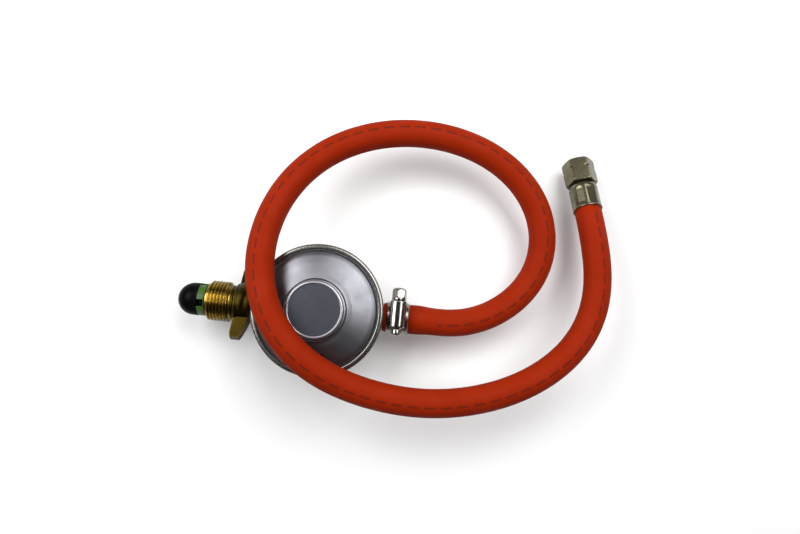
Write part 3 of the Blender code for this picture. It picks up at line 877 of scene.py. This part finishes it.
def spring():
    """Main spring, whose top rests under the adjusting screw."""
    wire_r, coil_r, turns, sides = 0.85, 10.5, 4, 12
    low, high = 32.1, 41.7
    steps = turns * 40
    loops = []
    for i in range(steps + 1):
        angle = 2 * math.pi * turns * i / steps
        height = low + wire_r + (high - low - 2 * wire_r) * i / steps
        loop = []
        for k in range(sides):
            around = 2 * math.pi * k / sides
            radius = coil_r + wire_r * math.cos(around)
            level = height + wire_r * math.sin(around)
            loop.append((radius * math.cos(angle), radius * math.sin(angle), level))
        loops.append(loop)
    give(piece(loft(loops), "main_spring", body="regulator"))


def bowl():
    """Cast lower body: a ribbed bowl with its two bosses and the posts of the lever's pin."""
    boss_r, inlet_bore_r, outlet_bore_r = 8.5, 5.8, 4.8
    inside = [(17, 3.0), (20.5, 5.5), (24, 14.5), (27, 24.5), (29.3, 30.0)]
    outline = dense(rounded([
        (0, 3.0), *inside, (29.3, 33.5), (34.1, 33.5), (34.1, 31.9), (32.6, 31.9),
        (32.6, 30.2, 0.6), (30, 24, 4), (27, 13, 4), (23.5, 4, 3), (21.4, 0.8, 0.8),
        (20, 0, 0.3), (0, 0),
    ]), 1.5)
    form = turn(outline, steps=128)
    for low, high in ((-35.3, -24.5), (24.5, 33.6)):
        form = combine(form, rod(boss_r, low, high, PORT), "UNION")
    for k in range(6):
        turned = Matrix.Rotation(math.radians(30 + 60 * k), 4, "Z")
        rib = block((21.5, -1.1, 5), (28.6, 1.1, 31.5), turned)
        form = combine(form, rib, "UNION")
    # Clears the inner ends of the bosses and ribs out of the bowl, a little short of its wall
    skin_depth = 0.1
    hollow = [(0, 3.0 + skin_depth)] + [(r - skin_depth, z + skin_depth) for r, z in inside]
    form = combine(form, turn([*hollow, (29.2, 40), (0, 40)], steps=128), "DIFFERENCE")
    post_width = 2.8
    for back in (4.6, -7.4):
        post = block((-12.5, back, 2.5), (-5.5, back + post_width, 19))
        form = combine(form, post, "UNION")
    form = cast(form, 0.62, 3)
    pin_place = axes(LEVER_PIN, (0, 1, 0), (0, 0, 1))
    form = combine(form, rod(1.8, -10, 10, pin_place, 32), "DIFFERENCE")
    for radius, low, high in ((inlet_bore_r, -41, -19), (outlet_bore_r, 19, 41)):
        form = combine(form, rod(radius, low, high, PORT, 48), "DIFFERENCE")
    piece(form, "lower_body")


# ---- inlet ----


def nose():
    """Soft bullnose with its parting line and a flat land at the tip, and the collar behind it."""
    centre, radius, tip_r = -70.0, 9.0, 3.4
    last = math.acos(tip_r / radius)
    outline = [(3.7, -63.9), (7.3, -63.9), (7.3, -66.9), (8.9, -66.9), (radius, -67.1)]
    steps = 22
    for i in range(steps + 1):
        angle = last * i / steps
        outline.append((radius * math.cos(angle), centre - radius * math.sin(angle)))
    tip_x = outline[-1][1]
    outline += [(2.6, tip_x + 0.1), (2.2, tip_x + 0.5), (2.2, -74.3), (3.7, -74.3)]

    def parting_line(angle, r, height):
        line_height, line_angle, sharpness, bore_side = 0.05, 0.6, 30, 4
        near = max(0.0, 1 - abs(math.sin(angle - line_angle)) * sharpness) if r > bore_side else 0
        return r + line_height * near, height

    piece(turn(outline, PORT, 128, parting_line), "bullnose_seal")
    ring = rounded([(7.6, -62.6), (8.9, -62.6, 0.25), (8.9, -66.6, 0.25), (7.6, -66.6)])
    form = turn(dense(ring, 0.5), PORT, 96)
    for k in range(2):
        turned = PORT @ Matrix.Rotation(COLLAR_TURN + math.pi / 2 * k, 4, "Z")
        slots = block((-12, -2.1, -68), (12, 2.1, -62.95), turned)
        form = combine(form, slots, "DIFFERENCE")
    piece(form, "nose_collar")


def spigot():
    """Brass tube that carries the nose through the nut, and the nut's thrust washer."""
    washer = rounded([(5.3, -61.9), (8.7, -61.9, 0.12), (8.7, -62.3, 0.12), (5.3, -62.3)])
    piece(turn(washer, PORT), "thrust_washer")
    outline = rounded([
        (2.0, -31.0), (5.4, -31.0), (5.4, -35.3), (5.0, -35.3), (5.0, -62.6), (7.3, -62.6, 0.2),
        (7.3, -63.6, 0.2), (3.4, -63.6, 0.2), (3.4, -74.0, 0.4), (2.0, -74.0, 0.2),
    ])
    piece(turn(dense(outline, 2), PORT), "inlet_spigot")


def hand_nut():
    """Forged nut: a left-hand thread, a grooved hub and two wings that lean forward."""
    hub = dense(rounded([
        (5.3, -36.9), (9.3, -36.9, 0.5), (10.3, -38.1, 0.5), (10.3, -44.6, 0.4),
        (10.8, -45.1, 0.4), (10.8, -46.1, 0.4), (9.2, -46.9, 0.4), (9.2, -48.6), (5.3, -48.6),
    ]), 0.5)
    form = turn(hub, PORT, 96)
    for turned in (0.0, math.pi):
        place = PORT @ Matrix.Rotation(turned - WING_TILT + math.pi / 2, 4, "Z")
        form = combine(form, wing(place), "UNION")
        form = combine(form, root_ridge(place), "UNION")
    form = cast(form, 0.34, 4)
    back, front, step = -48.3, -61.7, 0.1
    bore_r, crest, root = 5.3, 11.1, 9.95
    side = [(root, back - step * k) for k in range(round((back - front) / step) + 1)]
    outline = [(bore_r, back), *side, (9.2, front), (bore_r, front)]

    def thread(angle, radius, height):
        """The thread, which runs out at both ends into a smaller round."""
        back_fall, front_fall = 0.5, 0.35
        if radius < root - 0.1:
            return radius, height
        near_back = step_up(height, -50.0, -49.2)
        near_front = 1 - step_up(height, front, front + 1.4)
        lift = left_hand_thread(angle, height, THREAD_PITCH)
        runout = (1 - near_back) * (1 - near_front)
        raised = root + (crest - root) * lift * runout
        return raised - back_fall * near_back - front_fall * near_front, height

    screwed = turn(outline, PORT, 144, thread)
    piece(combine(screwed, form, "UNION"), "hand_nut")


def wing(place):
    """One wing, as sections from inside the hub to the tip."""
    # Reach, back, front and half thickness
    sections = (
        (5.0, -37.5, -46.2, 3.3), (10.0, -37.6, -46.3, 3.3), (14.5, -38.3, -46.4, 2.7),
        (18.5, -39.6, -46.4, 2.4), (21.3, -40.9, -46.0, 2.3),
    )
    loops = []
    for reach, back, front, half in sections:
        corners = ((back, -half), (front, -half), (front, half), (back, half))
        loops.append([(reach, across, along) for along, across in corners])
    return loft(loops, place)


def root_ridge(place):
    """Forged ridge that runs from a wing's root round the hub and ends in a round boss."""
    foot, bevel = 9.0, 0.4
    first, sweep = -10, 145
    steps = 20
    loops = []
    for i in range(steps + 1):
        share = i / steps
        angle = math.radians(first + sweep * share)
        crest = 12.6 - 1.4 * step_up(share, 0.0, 0.5)
        half = (2.6 - 1.1 * share) * math.sqrt(max(0.1, 1 - max(0.0, share * 10 - 9) ** 2))
        middle = -42.0 - 1.0 * share
        corners = (
            (foot, -half), (crest - bevel, -half), (crest, -half * 0.4),
            (crest, half * 0.4), (crest - bevel, half), (foot, half),
        )
        loops.append([
            (r * math.cos(angle), r * math.sin(angle), middle + h) for r, h in corners
        ])
    return loft(loops, place)


# ---- outlet and clip ----


def nozzle():
    """Brass nozzle with four barbs inside the hose's clamped end."""
    outline = [(3.0, 58.0), (3.6, 58.0)]
    for k in range(4):
        peak = 56.0 - 5.5 * k
        outline += [(4.6, peak), (4.1, peak - 0.3), (4.1, peak - 3.5)]
    outline += rounded([
        (4.1, 34.9), (7.6, 34.9, 0.15), (7.6, 33.9, 0.15), (4.5, 33.9), (4.5, 27), (3.0, 27),
    ])
    piece(turn(outline, PORT), "outlet_nozzle")


def band():
    """Slotted band of the clip, with its free end over it."""
    low, high = CLIP_X - 6, CLIP_X + 6
    edge_r, band_r, slot_depth = 8.35, 8.72, 0.3
    outline = dense(rounded([
        (8.0, high), (edge_r, high, 0.1), (band_r, high - 0.35, 0.2), (band_r, low + 0.35, 0.2),
        (edge_r, low, 0.1), (8.0, low),
    ]), 0.4)

    def slots(angle, radius, height):
        """Slots that the worm turns in, a pitch apart round the band and slightly slanted."""
        slant, run_r, floor_r = 0.08, 8.7, 8.6
        across = abs(height - CLIP_X)
        share = (angle * run_r / WORM_PITCH + (height - CLIP_X) * slant) % 1
        inside = step_up(abs(share - 0.5), 0.16, 0.24) * (1 - step_up(across, 3.2, 3.8))
        return (radius - slot_depth * inside if radius > floor_r else radius), height

    form = turn(outline, PORT, 264, slots)
    first, sweep, thickness = 34, 34, 0.6
    steps = 24
    loops = []
    for i in range(steps + 1):
        angle = math.radians(first + sweep * i / steps)
        half = 5.6 * math.sqrt(max(0.05, 1 - max(0.0, (i / steps - 0.8) * 4.6) ** 2))
        inner = band_r + (0.08 + 0.12 * (i / steps) ** 2)
        outer = inner + thickness
        corners = ((inner, -half), (outer, -half), (outer, half), (inner, half))
        loops.append([
            (r * math.cos(angle), r * math.sin(angle), CLIP_X + h) for r, h in corners
        ])
    # The band takes the darker copy of the steel: painted shade
    piece(combine(form, loft(loops, PORT), "UNION"), "clip_band", finish="band_steel_shaded")


def housing():
    """Rolled housing round the clip's screw."""
    outer_r = 4.6
    outline = dense(rounded([
        (3.45, 9.4), (4.2, 9.4, 0.2), (outer_r, 8.9, 0.4), (outer_r, -4.6, 0.4), (4.2, -5.1, 0.2),
        (3.45, -5.1),
    ]), 0.5)

    def arch(angle, radius, height):
        """A rounded top and square feet: the section of the rolled housing."""
        bore_side, half_width = 3.6, 4.4
        top = (2.1, 3.7)
        feet = (7.0, 3.85)
        if radius < bore_side:
            return radius, height
        up, out = math.cos(angle), math.sin(angle)
        power, reach = top if up > 0 else feet
        section = (abs(up / reach) ** power + abs(out / half_width) ** power) ** (-1 / power)
        return section * radius / outer_r, height

    piece(turn(outline, CLIP, 96, arch), "clip_housing", smooth_angle=50)


def clip_screw():
    """Worm screw with a hexagon head and a slot across it."""
    worm_r, worm_start, worm_step = 3.0, 8.6, 0.12
    outline = dense(rounded([
        (0, 16.2), (2.2, 16.15, 1.0), (3.5, 15.3, 0.8), (4.2, 13.9), (4.2, 11.5), (3.6, 10.9, 0.1),
        (3.85, 10.7, 0.25), (3.85, 9.75, 0.3), (worm_r, 9.6, 0.1),
    ]), 0.35)
    outline += [(worm_r, worm_start - worm_step * k) for k in range(112)]
    outline += rounded([
        (2.7, -5.6, 0.2), (2.7, -9.0, 1.1), (1.2, -9.3, 0.2), (0.9, -8.9, 0.2), (0, -8.8),
    ])

    def head(angle, radius, height):
        """Flats on the head and a right-hand thread on the worm."""
        head_base, across_flats, thread_depth = 10.85, 7.0, 0.15
        if height > head_base:
            return min(radius, hexagon(angle, across_flats, SCREW_HEAD_TURN)), height
        if -5 < height < 9 and 2.9 < radius < 3.1:
            return radius + thread_depth * left_hand_thread(-angle, height, WORM_PITCH), height
        return radius, height

    form = turn(outline, CLIP, 96, head)
    turned = CLIP @ Matrix.Rotation(SCREW_SLOT_TURN, 4, "Z")
    slot = block((-0.55, -5, 14.9), (0.55, 5, 17), turned)
    piece(combine(form, slot, "DIFFERENCE"), "clip_screw")


# ---- end fitting ----


def crimped_ferrule():
    """Sleeve with a lip, pressed to eight flats along its middle."""
    outline = dense(rounded([
        (4.6, 16.0), (6.3, 16.0, 0.4), (7.4, 15.3, 0.7), (8.0, 13.5, 0.9), (8.0, 1.1, 0.4),
        (8.2, 0.7, 0.3), (8.2, 0.0, 0.2), (7.45, 0.0, 0.15), (7.45, 14.0), (4.6, 14.0),
    ]), 0.5)

    def crimp(angle, radius, height):
        bore_side, flat_reach, flat_turn = 7.7, 7.72, 0.2
        if radius < bore_side or not 1.0 < height < 13.8:
            return radius, height
        eighth = math.pi / 4
        flat = flat_reach / math.cos((angle + flat_turn) % eighth - eighth / 2)
        depth = step_up(height, 1.6, 2.8) * (1 - step_up(height, 11.6, 12.8))
        return radius + (min(radius, flat) - radius) * depth, height

    return piece(turn(outline, FITTING, 128, crimp), "ferrule")


def barbed_tail():
    """Tail with three barbs in the hose, a shoulder for the nut and a rounded sealing end."""
    outline = rounded([
        (2.8, 24.4), (3.6, 24.4, 0.3), (5.5, 22.0, 0.8), (5.5, 19.6, 0.2), (4.2, 19.6),
        (4.2, 13.0),
    ])
    for peak in (12, 8, 4):
        outline += [(3.9, peak), (4.4, peak - 0.3)]
    outline += [(3.6, 0.8), (2.8, 0.8)]
    return piece(turn(outline, FITTING, 64), "hose_tail")


def swivel_nut():
    """Hexagon nut with notched corners and a left-hand thread inside."""
    bore_r, thread_depth, thread_start, thread_step = 6.45, 0.55, 19.4, 0.11
    outline = dense(rounded([
        (6.7, 31.5), (7.5, 31.5, 0.3), (8.7, 31.0, 0.5), (9.4, 30.2), (9.4, 26.7),
        (8.35, 25.6, 0.12), (9.4, 24.5), (9.4, 17.9), (8.8, 17.0, 0.4), (7.8, 16.7),
        (4.6, 16.7), (4.6, 19.3),
    ]), 0.4)
    outline += [(bore_r, thread_start + thread_step * k) for k in range(102)]

    def flats(angle, radius, height):
        """Flats outside, and inside a thread that eases off at the mouth."""
        across_flats, bore_side, thread_base = 16.0, 6.5, 19.35
        if radius < bore_side and height > thread_base:
            ease = 1 - step_up(height, 29.6, 30.6)
            lift = left_hand_thread(angle, height, SWIVEL_PITCH)
            return radius - thread_depth * lift * ease, height
        return min(radius, hexagon(angle, across_flats, SWIVEL_TURN)), height

    return piece(turn(outline, FITTING, 180, flats), "swivel_nut")


# ---- making ----

finishes = make_finishes()
camera()
tube, path, length = hose()
fitting_pieces = crimped_ferrule(), barbed_tail(), swivel_nut()
studio()
cover()
rim()
cap()
diaphragm()
spring()
bowl()
nose()
spigot()
hand_nut()
nozzle()
band()
housing()
clip_screw()
for node, obj in frame["nodes"].items():
    for slot in obj.material_slots:
        slot.material = finishes[SLOTS[node]]
